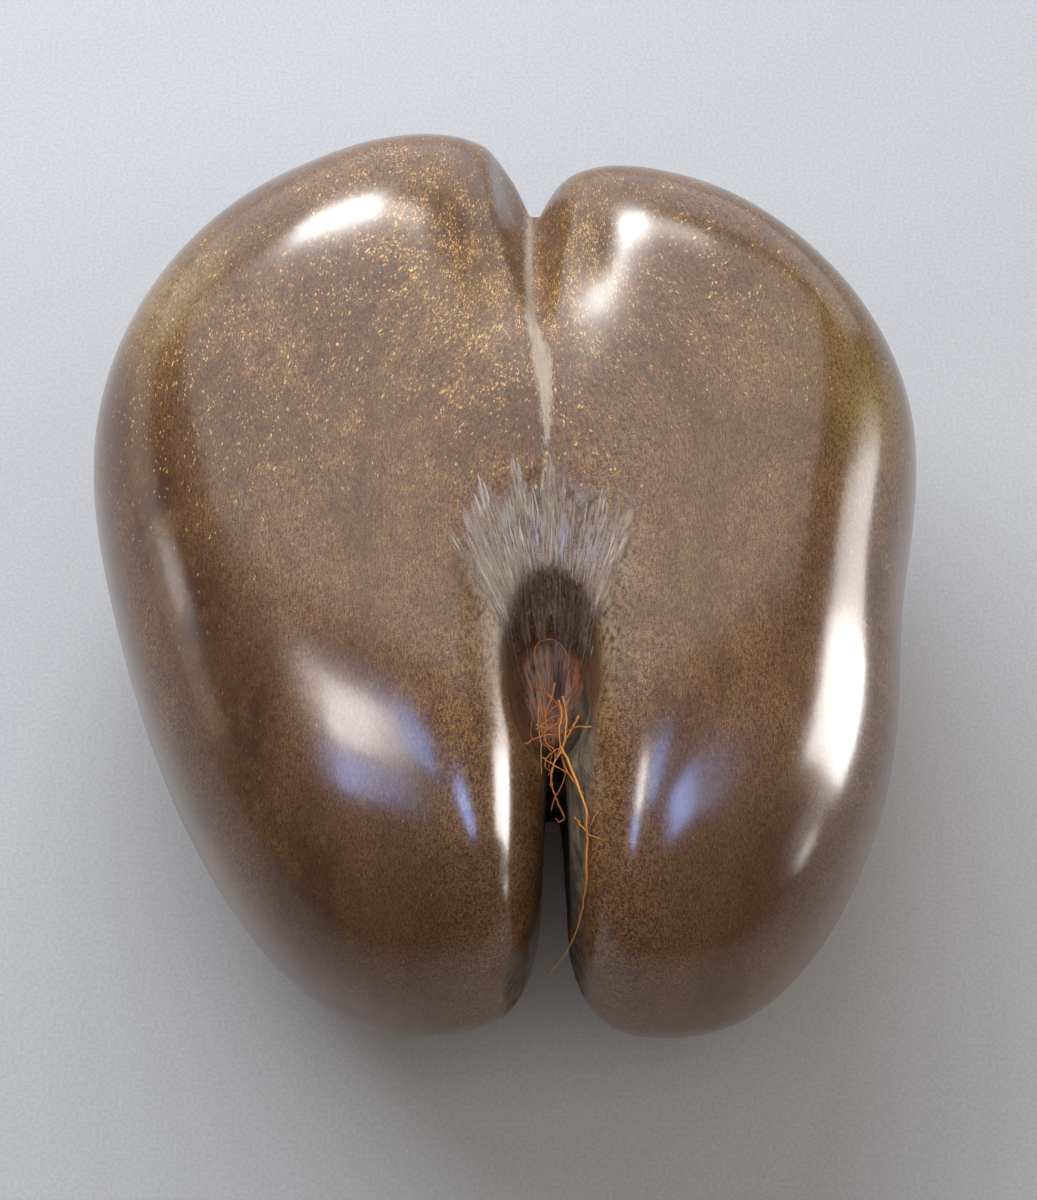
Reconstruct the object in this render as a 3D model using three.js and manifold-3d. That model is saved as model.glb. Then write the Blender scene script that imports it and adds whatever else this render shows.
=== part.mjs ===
// A polished coco de mer, the two-lobed seed of the double coconut palm, lying on its back.
// Millimetres, +Z up. X runs across the two lobes, +Y points to the notched end, and the origin is
// on the surface that the seed lies on, under the middle of its outline.
import * as THREE from "three";
import { mergeVertices } from "three/addons/utils/BufferGeometryUtils.js";
import Module from "manifold-3d";

// Each lobe is a kidney: a rounded solid on a crest line that bows away from the cleft.
const LEFT_LOBE = {
  outward: -1, // the side of the cleft that it lies on
  crest: [-68.8, 23.2], // the middle of its crest line, in plan
  lean: 14.4, // degrees that the crest line leans from +Y
  toNotch: 102.5, // reach from there to the notched end
  toTip: 174.8, // reach from there to the free tip
  outer: 62.6, // half-width on the outer side
  inner: 71.8, // half-width on the cleft side
  outerTaper: -0.171, // share by which that half-width grows towards the notched end
  innerTaper: 0.432,
  dip: 0, // share by which the outer side is flattened between the middle and the tip
  bow: 25.7, // how far the two ends curve in towards the cleft
  twist: 13.8, // how much further the notched end does so than the tip
  front: 74.1, // height of the face above the waist
  frontTaper: -0.038, // share by which that height grows towards the notched end
  back: 78.9, // depth of the back below the waist
  backTaper: -0.11,
};
const RIGHT_LOBE = {
  outward: 1,
  crest: [72.8, 31.9],
  lean: -3.6,
  toNotch: 90.5,
  toTip: 179.1,
  outer: 51.1,
  inner: 58.3,
  outerTaper: -0.313,
  innerTaper: 0.15,
  dip: 0.11,
  bow: 31.4,
  twist: 10,
  front: 72.1,
  frontTaper: -0.029,
  back: 78.9,
  backTaper: -0.15,
};
const DIP = { at: -0.3, width: 0.2 }; // where the dip is, as a share of the reach to the tip
const WAIST_HEIGHT = 77.9; // where the seed is widest, above what it lies on
const FACE_HEIGHT = WAIST_HEIGHT + LEFT_LOBE.front;
const PLAN_ROUNDNESS = 2.5; // 2 is an ellipse, and more is squarer
const FACE_ROUNDNESS = 2.65; // of a section through a lobe's face, on its outer side
const CLEFT_ROUNDNESS = 4.05; // the same on the side of the cleft, so that the groove is narrow
const BACK_ROUNDNESS = 2.2;
// The stretches over which one side's sizes pass into the other's.
const BLEND = { along: 25, across: 15, height: 15, roundness: 20 };

// The bridge joins the lobes, flush with the face, and short of the notch, the cleft and the back.
const BRIDGE = { centre: [6, 20, 88], half: [74, 82, 60], roundness: 2.3 };
// What is cut: the groove from the notch, the scar's shallow bowl, the hollow below it, and the
// narrowest stretch of the cleft, which goes right through.
const GROOVE = { centre: [2.5, 112, 140], half: [11, 78, 30], roundness: 1.8, slant: [-0.07, -0.35] };
const BOWL = { centre: [8, -28, 163], half: [25, 32, 21], roundness: 2 };
const HOLLOW = { centre: [9.5, -56, 140], half: [13, 28, 32], roundness: 2.2 };
const CLEFT = { centre: [11, -116, 75], half: [4, 46, 95], roundness: 2.2 };
const LOBE_FILLET = 8;
const BRIDGE_FILLET = 24;
const CUT_FILLET = 7;

// The torn fibres of the scar, as ridges that fan out over the bowl and end raggedly.
const SCAR = {
  centre: [9.5, -73], // where the ridges would meet, in plan
  from: 32, // distance from there to where they start
  rise: 6, // distance over which they do
  to: 72, // distance to where the middle ones end
  sideTo: 54, // distance to where the outermost ones end
  ragged: 3.5, // how far those ends vary
  waves: [19, 43], // how often they do, to the radian
  spread: 0.52, // radians that the fan opens to each side
  pitch: 0.13, // radians from ridge to ridge
  height: 1.6, // of a ridge over the furrow beside it
  recess: 1.1, // of the furrows below the polished face
  wander: 0.8, // radians of its own wave by which a ridge strays
  depth: [105, 125], // heights between which the relief fades in the hollow
};

// The tuft of husk fibres lodged in the head of the cleft.
const TUFT = {
  root: [9.8, -68, 124], // the middle of the knot that the fibres grow from
  knot: [3.6, 7, 3.2], // its half sizes
  count: 17,
  points: [3, 6], // in a fibre's curve, after the root
  step: 4.2, // distance between them
  curl: 0.75, // most that a fibre turns at a point, in radians
  waver: 0.3, // and how much that varies
  rise: [1, 8], // how far it arches up
  thickness: 0.7,
  sides: 5,
  gap: 0.45, // between a fibre and the seed
  seed: 11,
};
// The one long fibre, as points from the knot down beside the cleft.
const LONG_FIBRE = [
  [12.5, -76, 123],
  [16, -89, 132],
  [18.8, -100, 136],
  [19.3, -107, 133],
  [19.1, -113, 130],
  [18.8, -119.5, 125.5],
  [17.5, -125.5, 115],
  [14, -130, 101],
  [8.6, -133.4, 88],
];

// The surface is laid as a coarse net, which is then drawn onto the true surface.
const NET_PITCH = 9.5;
const NET_BOX = { low: [-150, -180, -30], high: [150, 170, 180] };
const NET_SLOT = { middle: 11, half: 8, head: -76 }; // X and Y of the slot that it is laid with
// Where its edges are short: beside a stretch along Y, this deep below the face.
const FINE_PLACES = [
  { x: 8, stretch: [-32, -32], depth: 0, reach: 27, edge: 2.4 }, // the scar
  { x: 5.5, stretch: [42, 97], depth: 15, reach: 12, edge: 4.5 }, // the groove
];
const COARSENING = 0.3; // share of the distance beyond that reach by which the edges grow

const { smoothstep, clamp, degToRad } = THREE.MathUtils;

const softSwitch = (low, high, t, softness) => low + (high - low) * 0.5 * (1 + t / Math.hypot(t, softness));

function softMin(a, b, reach) {
  const h = Math.max(reach - Math.abs(a - b), 0) / reach;
  return Math.min(a, b) - (h ** 3 * reach) / 6;
}

const softMax = (a, b, reach) => -softMin(-a, -b, reach);

// The size of (a, b) measured so that size 1 is a rounded square.
function roundSize(a, b, roundness) {
  return (Math.abs(a) ** roundness + Math.abs(b) ** roundness) ** (1 / roundness);
}

// How far a point lies outside a rounded solid, measured towards its middle.
const outside = (gauge, distance) => distance * (1 - 1 / Math.max(gauge, 1e-3));

function lobeField(lobe, x, y, z) {
  const dx = x - lobe.crest[0];
  const dy = y - lobe.crest[1];
  const dz = z - WAIST_HEIGHT;
  const lean = degToRad(lobe.lean);
  const along = dy * Math.cos(lean) - dx * Math.sin(lean);
  const s = along / softSwitch(lobe.toTip, lobe.toNotch, along, BLEND.along);
  const sideways = lobe.outward * (dx * Math.cos(lean) + dy * Math.sin(lean));
  const across = sideways + lobe.bow * s * s + lobe.twist * s ** 3;
  const flattened = lobe.dip * Math.exp(-(((s - DIP.at) / DIP.width) ** 2));
  const inner = lobe.inner * (1 + lobe.innerTaper * s);
  const outer = lobe.outer * (1 + lobe.outerTaper * s - flattened);
  const t = across / softSwitch(inner, outer, across, BLEND.across);
  const back = lobe.back * (1 + lobe.backTaper * s);
  const front = lobe.front * (1 + lobe.frontTaper * s);
  const h = dz / softSwitch(back, front, dz, BLEND.height);
  const face = softSwitch(CLEFT_ROUNDNESS, FACE_ROUNDNESS, across, BLEND.roundness);
  const edge = softSwitch(BACK_ROUNDNESS, face, dz, BLEND.height);
  return outside(roundSize(roundSize(s, t, PLAN_ROUNDNESS), h, edge), Math.hypot(dx, dy, dz));
}

// A rounded solid whose middle line may slant: by how much X and Z change along Y.
function roundedField({ centre, half, roundness, slant = [0, 0] }, x, y, z) {
  const dy = y - centre[1];
  const dx = x - centre[0] - slant[0] * dy;
  const dz = z - centre[2] - slant[1] * dy;
  const plan = roundSize(dx / half[0], dy / half[1], roundness);
  return outside(roundSize(plan, dz / half[2], roundness), Math.hypot(dx, dy, dz));
}

// How far the scar's torn fibres stand above the smooth face, or below it.
function scarRelief(x, y, z) {
  const distance = Math.hypot(x - SCAR.centre[0], y - SCAR.centre[1]);
  const angle = Math.atan2(x - SCAR.centre[0], y - SCAR.centre[1]);
  const [wide, narrow] = SCAR.waves.map((wave) => Math.sin(wave * angle));
  const ragged = SCAR.ragged * (0.6 * wide + 0.4 * narrow);
  const end = SCAR.to - (SCAR.to - SCAR.sideTo) * (angle / SCAR.spread) ** 2 + ragged;
  const shown =
    smoothstep(distance, SCAR.from, SCAR.from + SCAR.rise) *
    (1 - smoothstep(distance, end - 3, end + 1)) *
    (1 - smoothstep(Math.abs(angle), SCAR.spread - 0.08, SCAR.spread + 0.04)) *
    smoothstep(z, ...SCAR.depth);
  const strayed = SCAR.wander * Math.sin(distance / 7);
  const ridge = 0.5 + 0.5 * Math.cos((2 * Math.PI * angle) / SCAR.pitch + strayed);
  return shown * (SCAR.height * ridge - SCAR.recess);
}

// Below zero inside the seed, zero on its surface.
function seedField(x, y, z) {
  const lobes = softMin(lobeField(LEFT_LOBE, x, y, z), lobeField(RIGHT_LOBE, x, y, z), LOBE_FILLET);
  let field = softMin(lobes, roundedField(BRIDGE, x, y, z), BRIDGE_FILLET);
  for (const cut of [GROOVE, BOWL, HOLLOW, CLEFT]) {
    field = softMax(field, -roundedField(cut, x, y, z), CUT_FILLET);
  }
  return field - scarRelief(x, y, z);
}

// The same with the narrow cleft widened, so that the coarse net passes between the tips.
function netField(x, y, z) {
  const slot = Math.max(Math.abs(x - NET_SLOT.middle) - NET_SLOT.half, y - NET_SLOT.head);
  return Math.max(seedField(x, y, z), -slot);
}

// How the field grows along each axis from a point where it has this value.
function slopeOf(field, [x, y, z], value) {
  const step = 0.1;
  const beside = [field(x + step, y, z), field(x, y + step, z), field(x, y, z + step)];
  return beside.map((v) => (v - value) / step);
}

// One point in each cell that the surface crosses, and four cells joined round each crossed edge.
function layNet(field, low, high, pitch) {
  const count = high.map((v, i) => Math.ceil((v - low[i]) / pitch) + 1);
  const at = (i, j, k) => (k * count[1] + j) * count[0] + i;
  const values = new Float64Array(count[0] * count[1] * count[2]);
  for (let k = 0; k < count[2]; k++)
    for (let j = 0; j < count[1]; j++)
      for (let i = 0; i < count[0]; i++)
        values[at(i, j, k)] = field(low[0] + i * pitch, low[1] + j * pitch, low[2] + k * pitch);
  const corners = [0, 1, 2, 3, 4, 5, 6, 7].map((n) => [n & 1, (n >> 1) & 1, n >> 2]);
  const edges = corners.flatMap((a, m) =>
    corners
      .slice(m + 1)
      .filter((b) => b.filter((v, n) => v !== a[n]).length === 1)
      .map((b) => [a, b]),
  );
  const points = [];
  const cellPoint = new Map();
  for (let k = 0; k < count[2] - 1; k++)
    for (let j = 0; j < count[1] - 1; j++)
      for (let i = 0; i < count[0] - 1; i++) {
        const sum = [0, 0, 0];
        let crossings = 0;
        for (const [a, b] of edges) {
          const va = values[at(i + a[0], j + a[1], k + a[2])];
          const vb = values[at(i + b[0], j + b[1], k + b[2])];
          if (va < 0 === vb < 0) continue;
          crossings++;
          for (let n = 0; n < 3; n++) sum[n] += a[n] + ((b[n] - a[n]) * va) / (va - vb);
        }
        if (!crossings) continue;
        cellPoint.set(at(i, j, k), points.length);
        points.push([i, j, k].map((v, n) => low[n] + (v + sum[n] / crossings) * pitch));
      }
  const faces = [];
  const step = [1, count[0], count[0] * count[1]];
  for (let k = 1; k < count[2] - 1; k++)
    for (let j = 1; j < count[1] - 1; j++)
      for (let i = 1; i < count[0] - 1; i++)
        for (let axis = 0; axis < 3; axis++) {
          const here = at(i, j, k);
          const inside = values[here] < 0;
          if (inside === values[here + step[axis]] < 0) continue;
          const [u, v] = [step[(axis + 1) % 3], step[(axis + 2) % 3]];
          const ring = [here, here - u, here - u - v, here - v].map((n) => cellPoint.get(n));
          if (!inside) ring.reverse();
          faces.push([ring[0], ring[1], ring[2]], [ring[0], ring[2], ring[3]]);
        }
  return { points, faces };
}

// Moves each point along the field's slope until it lies on the surface.
function drawOnto(field, points, passes) {
  for (const p of points)
    for (let pass = 0; pass < passes; pass++) {
      const value = field(...p);
      if (Math.abs(value) < 1e-3) break;
      const slope = slopeOf(field, p, value);
      const steepness = slope[0] ** 2 + slope[1] ** 2 + slope[2] ** 2;
      const move = clamp(value / Math.max(steepness, 0.05), -4, 4);
      for (let n = 0; n < 3; n++) p[n] -= slope[n] * move;
    }
}

// Evens out the spacing of the points, keeping them on the surface.
function relax(field, { points, faces }, rounds) {
  const near = points.map(() => new Set());
  for (const [a, b, c] of faces) {
    near[a].add(b).add(c);
    near[b].add(a).add(c);
    near[c].add(a).add(b);
  }
  for (let round = 0; round < rounds; round++) {
    const before = points.map((p) => [...p]);
    points.forEach((p, m) => {
      const sum = [0, 0, 0];
      for (const other of near[m]) before[other].forEach((v, n) => (sum[n] += v));
      for (let n = 0; n < 3; n++) p[n] = (p[n] + sum[n] / near[m].size) / 2;
    });
    drawOnto(field, points, 1);
  }
}

// Halves every edge that is longer than its place asks for, and splits the faces beside it.
function refine(net, wantedLength) {
  const { points } = net;
  const middles = new Map();
  const middle = (a, b) => {
    const key = a < b ? `${a} ${b}` : `${b} ${a}`;
    if (!middles.has(key)) {
      const [p, q] = [points[a], points[b]];
      const m = p.map((v, n) => (v + q[n]) / 2);
      const tooLong = Math.hypot(p[0] - q[0], p[1] - q[1], p[2] - q[2]) > wantedLength(...m);
      middles.set(key, tooLong ? points.push(m) - 1 : null);
    }
    return middles.get(key);
  };
  net.faces = net.faces.flatMap((face) => {
    let [a, b, c] = face;
    let [ab, bc, ca] = [middle(a, b), middle(b, c), middle(c, a)];
    const split = [ab, bc, ca].filter((m) => m !== null).length;
    if (split === 0) return [face];
    if (split === 3) return [[a, ab, ca], [ab, b, bc], [ca, bc, c], [ab, bc, ca]];
    while (ab === null || (split === 2 && bc === null)) [a, b, c, ab, bc, ca] = [b, c, a, bc, ca, ab];
    if (split === 1) return [[a, ab, c], [ab, b, c]];
    return [[ab, b, bc], [a, ab, bc], [a, bc, c]];
  });
}

function geometryOf(points, faces) {
  const geometry = new THREE.BufferGeometry();
  geometry.setAttribute("position", new THREE.Float32BufferAttribute(points, 3));
  geometry.setIndex(faces);
  return geometry;
}

function seedGeometry() {
  const net = layNet(netField, NET_BOX.low, NET_BOX.high, NET_PITCH);
  drawOnto(seedField, net.points, 6);
  relax(seedField, net, 10);
  const wantedEdge = (place, x, y, z) => {
    const beside = y - clamp(y, ...place.stretch);
    const away = Math.hypot(x - place.x, beside, z - FACE_HEIGHT + place.depth) - place.reach;
    return place.edge + Math.max(away, 0) * COARSENING;
  };
  const wantedLength = (...p) => Math.min(...FINE_PLACES.map((place) => wantedEdge(place, ...p)));
  for (let pass = 0; pass < 3; pass++) {
    refine(net, wantedLength);
    relax(seedField, net, 2);
  }
  for (const p of net.points) p[2] = Math.max(p[2], 0); // the flats that it lies on
  return geometryOf(net.points.flat(), net.faces.flat());
}

// How far a point is from the seed.
function clearanceAt(x, y, z) {
  const value = seedField(x, y, z);
  return value / Math.hypot(...slopeOf(seedField, [x, y, z], value));
}

// The height at which something of this radius, let down from above the face, meets the seed.
function restHeight(x, y, radius, lowest) {
  const [above, touching, caution] = [15, 0.02, 0.8];
  let z = FACE_HEIGHT + above;
  for (let pass = 0; pass < 60 && z > lowest; pass++) {
    const spare = clearanceAt(x, y, z) - radius;
    if (spare < touching) break;
    z -= spare * caution;
  }
  return Math.max(z, lowest);
}

// The point moved straight off the seed until it is at least this far from it.
function clearOfSeed(point, radius) {
  const p = new THREE.Vector3(...point);
  for (let pass = 0; pass < 12; pass++) {
    const value = seedField(...p);
    const slope = new THREE.Vector3(...slopeOf(seedField, [...p], value));
    const lack = radius - value / slope.length();
    if (lack < 0.01) break;
    p.addScaledVector(slope.normalize(), lack);
  }
  return p;
}

const wasm = await Module();
wasm.setup();

function solidOf(geometry) {
  geometry.deleteAttribute("normal");
  geometry.deleteAttribute("uv");
  const merged = mergeVertices(geometry, 1e-4);
  const vertProperties = Float32Array.from(merged.attributes.position.array);
  const triVerts = Uint32Array.from(merged.index.array);
  return new wasm.Manifold(new wasm.Mesh({ numProp: 3, vertProperties, triVerts }));
}

// A seeded draw of numbers from 0 to 1.
function drawFrom(seed) {
  let state = seed;
  return () => {
    state = (state * 16807) % 2147483647;
    return state / 2147483647;
  };
}

function fibreSolid(points) {
  const radius = TUFT.thickness / 2;
  const corners = Array.from({ length: TUFT.sides }, (_, n) => {
    const angle = (n * 2 * Math.PI) / TUFT.sides;
    return new THREE.Vector2(radius * Math.cos(angle), radius * Math.sin(angle));
  });
  const section = new THREE.Shape(corners);
  const extrudePath = new THREE.CatmullRomCurve3(points);
  const steps = Math.round(points.length * 1.8);
  return solidOf(new THREE.ExtrudeGeometry(section, { extrudePath, steps, bevelEnabled: false }));
}

function tuftGeometry() {
  const random = drawFrom(TUFT.seed);
  const spread = (low, high) => low + (high - low) * random();
  const radius = TUFT.thickness / 2 + TUFT.gap;
  const root = new THREE.Vector3(...TUFT.root);
  let tuft = solidOf(new THREE.SphereGeometry(1, 8, 6).scale(...TUFT.knot).translate(...TUFT.root));
  const above = (x, y, lift) => new THREE.Vector3(x, y, restHeight(x, y, radius, root.z) + lift);
  const alongKnot = 0.8 * TUFT.knot[1];
  for (let n = 0; n < TUFT.count; n++) {
    let heading = spread(0, 2 * Math.PI);
    const curl = spread(-TUFT.curl, TUFT.curl);
    const rise = spread(...TUFT.rise);
    const pointCount = Math.round(spread(...TUFT.points));
    const start = root.clone().setY(root.y + spread(-alongKnot, alongKnot));
    const points = [start];
    let [x, y] = [start.x, start.y];
    for (let m = 1; m <= pointCount; m++) {
      x += 0.6 * TUFT.step * Math.cos(heading);
      y += TUFT.step * Math.sin(heading);
      heading += curl + spread(-TUFT.waver, TUFT.waver);
      points.push(above(x, y, rise * Math.sin((Math.PI * m) / (pointCount + 0.5))));
    }
    tuft = tuft.add(fibreSolid(points));
  }
  tuft = tuft.add(fibreSolid([root, ...LONG_FIBRE.map((p) => clearOfSeed(p, radius))]));
  const { vertProperties, triVerts } = tuft.getMesh();
  return geometryOf(vertProperties, Array.from(triVerts));
}

function part(name, geometry, color, roughness) {
  const mesh = new THREE.Mesh(geometry, new THREE.MeshStandardMaterial({ color, roughness, metalness: 0 }));
  mesh.name = name;
  return mesh;
}

const cocoDeMer = new THREE.Group();
cocoDeMer.add(part("nut", seedGeometry(), 0x5f432e, 0.25));
cocoDeMer.add(part("husk_fibres", tuftGeometry(), 0xa8622c, 0.7));
const outline = new THREE.Box3().setFromObject(cocoDeMer.children[0]);
const middle = outline.getCenter(new THREE.Vector3());
cocoDeMer.position.set(-middle.x, -middle.y, 0);
export default cocoDeMer;
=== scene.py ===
import math
import random

import bmesh
import bpy
import numpy as np
from mathutils import Matrix, Vector


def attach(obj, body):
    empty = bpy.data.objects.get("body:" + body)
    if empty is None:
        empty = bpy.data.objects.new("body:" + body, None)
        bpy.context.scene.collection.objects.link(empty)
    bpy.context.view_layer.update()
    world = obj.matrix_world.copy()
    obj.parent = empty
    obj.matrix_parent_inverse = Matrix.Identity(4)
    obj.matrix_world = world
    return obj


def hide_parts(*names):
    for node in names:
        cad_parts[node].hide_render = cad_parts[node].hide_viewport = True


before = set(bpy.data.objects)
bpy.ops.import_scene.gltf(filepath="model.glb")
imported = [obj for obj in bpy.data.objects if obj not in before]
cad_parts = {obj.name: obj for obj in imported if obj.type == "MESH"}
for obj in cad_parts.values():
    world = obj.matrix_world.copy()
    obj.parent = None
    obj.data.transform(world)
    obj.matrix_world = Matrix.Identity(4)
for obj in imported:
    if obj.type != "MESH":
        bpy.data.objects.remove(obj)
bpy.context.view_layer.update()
mm = 0.001  # the forms below are in millimetres, in the seed's own frame

# The seed's form, the same as the solid's: two bowed lobes, the bridge between them and four cuts
seed = {
    "middle": (-4.212, -3.457),  # of its outline, which the frame is centred on
    "waist": 77.9,
    "planRoundness": 2.5,
    "faceRoundness": 2.65,
    "cleftRoundness": 4.05,
    "backRoundness": 2.2,
    "softness": {"length": 25, "side": 15, "edge": 20},  # how gently one roundness passes into the next
    "dipAt": -0.3,  # the flattened place in a lobe's outer side, as a share of its length
    "dipReach": 0.2,
    "left": {
        "outward": -1, "crest": (-68.8, 23.2), "lean": 14.4, "toNotch": 102.5, "toTip": 174.8,
        "outer": 62.6, "outerTaper": -0.171, "inner": 71.8, "innerTaper": 0.432,
        "dip": 0, "bow": 25.7, "twist": 13.8,
        "front": 74.1, "frontTaper": -0.038, "back": 78.9, "backTaper": -0.11,
    },
    "right": {
        "outward": 1, "crest": (72.8, 31.9), "lean": -3.6, "toNotch": 90.5, "toTip": 179.1,
        "outer": 51.1, "outerTaper": -0.313, "inner": 58.3, "innerTaper": 0.15,
        "dip": 0.11, "bow": 31.4, "twist": 10,
        "front": 72.1, "frontTaper": -0.029, "back": 78.9, "backTaper": -0.15,
    },
    "bridge": {"centre": (6, 20, 88), "half": (74, 82, 60), "roundness": 2.3, "slant": (0, 0)},
    "cuts": [  # the groove, the scar's bowl, the hollow and the cleft
        {"centre": (2.5, 112, 140), "half": (11, 78, 30), "roundness": 1.8, "slant": (-0.07, -0.35)},
        {"centre": (8, -28, 163), "half": (25, 32, 21), "roundness": 2, "slant": (0, 0)},
        {"centre": (9.5, -56, 140), "half": (13, 28, 32), "roundness": 2.2, "slant": (0, 0)},
        {"centre": (11, -116, 75), "half": (4, 46, 95), "roundness": 2.2, "slant": (0, 0)},
    ],
    "lobeFillet": 8,
    "bridgeFillet": 24,
    "cutFillet": 7,
}

# The scar: torn strands that fan out from the hollow and end raggedly in the polished face
scar = {
    "centre": (9.5, -73),  # where the strands would meet
    "spread": 0.52,  # radians to each side
    "torn": (-0.5, 0.43),  # and how far the torn strands go, left and right
    "to": 72,  # distance from the centre to where the middle strands end
    "sideTo": 54,
    "from": 36,  # and to where they start, at the rim of the hollow
    "sideFrom": 20,
    "ragged": 8,
    "tipPitches": (22, 55),  # how closely its ragged tips follow each other
    "fanScale": 50,  # millimetres across the fan for one radian
    "above": 105,  # the height that it stays above
    "strandWidth": 0.9,
    "strandLength": 13,
    "strandHeight": 0.34,
    "strandRecess": 0.3,
    "fade": (-0.4, 1.2),  # distances inside its edge over which its relief begins
}

# Its broad ridges, those of the solid made shallower
ridges = {
    "pitch": 0.13,
    "height": 1.6,
    "recess": 1.1,
    "share": 0.22,
    "ragged": 3.5,
    "waves": ((0.6, 19), (0.4, 43)),  # the strength and pitch of the ragged end's waves
    "rise": (32, 38),  # distances from the centre where they begin
    "end": (-3, 1),  # and, past the ragged end, where they stop
    "flank": (-0.08, 0.04),
    "above": (105, 125),
    "sway": (0.8, 7),
}

# The dark hollow below the scar
hollow = {
    "above": 95,
    "width": 0.8,  # as a share of the scar's spread
    "rim": -1.5,  # its rim's place, past the start of the strands
    "edge": 2,
    "roughness": 1.3,  # height of its pits
    "fade": (-1, 3),
}

# The cleft between the free tips, where nothing is polished: its edges from its head to the tips
cleft = {
    "head": -50,
    "left": ((-54, 2), (-72, 4.8), (-100, 7.4), (-124, 6.2), (-137, -4), (-160, -12)),
    "right": ((-54, 21), (-73, 22.4), (-100, 20.6), (-124, 19), (-137, 20), (-160, 26)),
    "roughness": 0.55,  # height of its fibrous relief
    "recess": 0.3,
    "fade": (0, 3),
}

# The pale streak of torn fibres at the bottom of the groove
streak = {
    "line": ((71, 3.3), (52, 4), (39, 7), (24, 8.2), (4, 8)),  # Y, X
    "halfWidth": ((75, 1.8), (60, 2.3), (46, 3), (38, 3.8), (28, 2.8), (14, 1.6), (4, 0.6)),
    "from": -2,  # Y
    "above": 90,
    "roughness": 0.14,
    "fade": (-0.3, 1),
}

farOutside = -30  # a mask's distance where its place isn't near at all

# The fine relief's random heights: strength, size in three directions and number of the draw
relief = {
    "pits": ((1, (2.2, 16, 14), 9), (0.5, (0.9, 9, 9), 10)),
    "wall": ((1, (2.4, 15, 2.4), 11), (0.6, (0.9, 8, 1.1), 12)),
    "streak": ((1, (0.6, 9, 1), 13),),
    "wave": ((0.12, (17, 30, 17), 14), (0.035, (6, 11, 6), 15)),
}

camera = {
    "elevation": 65,
    "distance": 1000,
    "target": (0, 0, 60),
    "lens": 95,
    "film": 36,
    "pixels": (1037, 1200),
    "clipEnd": 20,
    "search": (-140, 60, 0.2),  # where a ray looks for the seed, before and behind the target
}


def softSwitch(low, high, t, softness):
    return low + (high - low) * 0.5 * (1 + t / np.hypot(t, softness))


def softMin(a, b, reach):
    h = np.maximum(reach - np.abs(a - b), 0) / reach
    return np.minimum(a, b) - h**3 * reach / 6


def smoothStep(value, low, high):
    t = np.clip((value - low) / (high - low), 0, 1)
    return t * t * (3 - 2 * t)


def roundSize(a, b, roundness):
    return (np.abs(a) ** roundness + np.abs(b) ** roundness) ** (1 / roundness)


def outside(gauge, dx, dy, dz):
    return np.sqrt(dx**2 + dy**2 + dz**2) * (1 - 1 / np.maximum(gauge, 1e-3))


def lobeField(lobe, x, y, z):
    dx, dy, dz = x - lobe["crest"][0], y - lobe["crest"][1], z - seed["waist"]
    lean = math.radians(lobe["lean"])
    along = dy * math.cos(lean) - dx * math.sin(lean)
    soft = seed["softness"]
    s = along / softSwitch(lobe["toTip"], lobe["toNotch"], along, soft["length"])
    across = lobe["outward"] * (dx * math.cos(lean) + dy * math.sin(lean))
    across += lobe["bow"] * s**2 + lobe["twist"] * s**3
    flattened = lobe["dip"] * np.exp(-(((s - seed["dipAt"]) / seed["dipReach"]) ** 2))
    inner = lobe["inner"] * (1 + lobe["innerTaper"] * s)
    outer = lobe["outer"] * (1 + lobe["outerTaper"] * s - flattened)
    t = across / softSwitch(inner, outer, across, soft["side"])
    back, front = (lobe[side] * (1 + lobe[side + "Taper"] * s) for side in ("back", "front"))
    h = dz / softSwitch(back, front, dz, soft["side"])
    face = softSwitch(seed["cleftRoundness"], seed["faceRoundness"], across, soft["edge"])
    edge = softSwitch(seed["backRoundness"], face, dz, soft["side"])
    return outside(roundSize(roundSize(s, t, seed["planRoundness"]), h, edge), dx, dy, dz)


def roundedField(form, x, y, z):
    dy = y - form["centre"][1]
    dx = x - form["centre"][0] - form["slant"][0] * dy
    dz = z - form["centre"][2] - form["slant"][1] * dy
    plan = roundSize(dx / form["half"][0], dy / form["half"][1], form["roundness"])
    return outside(roundSize(plan, dz / form["half"][2], form["roundness"]), dx, dy, dz)


def seedField(points):  # below zero inside the seed
    x, y, z = points.T
    field = softMin(lobeField(seed["left"], x, y, z), lobeField(seed["right"], x, y, z), seed["lobeFillet"])
    field = softMin(field, roundedField(seed["bridge"], x, y, z), seed["bridgeFillet"])
    for cut in seed["cuts"]:
        field = -softMin(-field, roundedField(cut, x, y, z), seed["cutFillet"])
    return field


def slopeOf(points, step=0.1):
    rises = [seedField(points + step * axis) - seedField(points - step * axis) for axis in np.eye(3)]
    return np.stack(rises, 1) / (2 * step)


def normalsOf(points):
    slope = slopeOf(points)
    return slope / np.linalg.norm(slope, axis=1)[:, None]


# Whole numbers that stir a corner's place into its random height
corners = {"stir": (374761393, 668265263, 1442695041, 9176263), "spread": 1274126177, "half": 0x8000}


# A random height at each corner of a unit net, blended between them, from -1 to 1
def netNoise(x, y, z, drawn):
    x, y, z = np.broadcast_arrays(x, y, z)
    low = [np.floor(v).astype(np.int64) for v in (x, y, z)]
    part = [smoothStep(v - c, 0, 1) for v, c in zip((x, y, z), low)]
    total = np.zeros(x.shape)
    for corner in range(8):
        sides = corner & 1, corner >> 1 & 1, corner >> 2
        places = [c + side for c, side in zip(low, sides)] + [drawn]
        mixed = sum(place * factor for place, factor in zip(places, corners["stir"]))
        mixed = (mixed ^ (mixed >> 13)) * corners["spread"]
        height = ((mixed ^ (mixed >> 16)) & (2 * corners["half"] - 1)) / corners["half"] - 1
        shares = [p if side else 1 - p for p, side in zip(part, sides)]
        total += height * shares[0] * shares[1] * shares[2]
    return total


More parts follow.
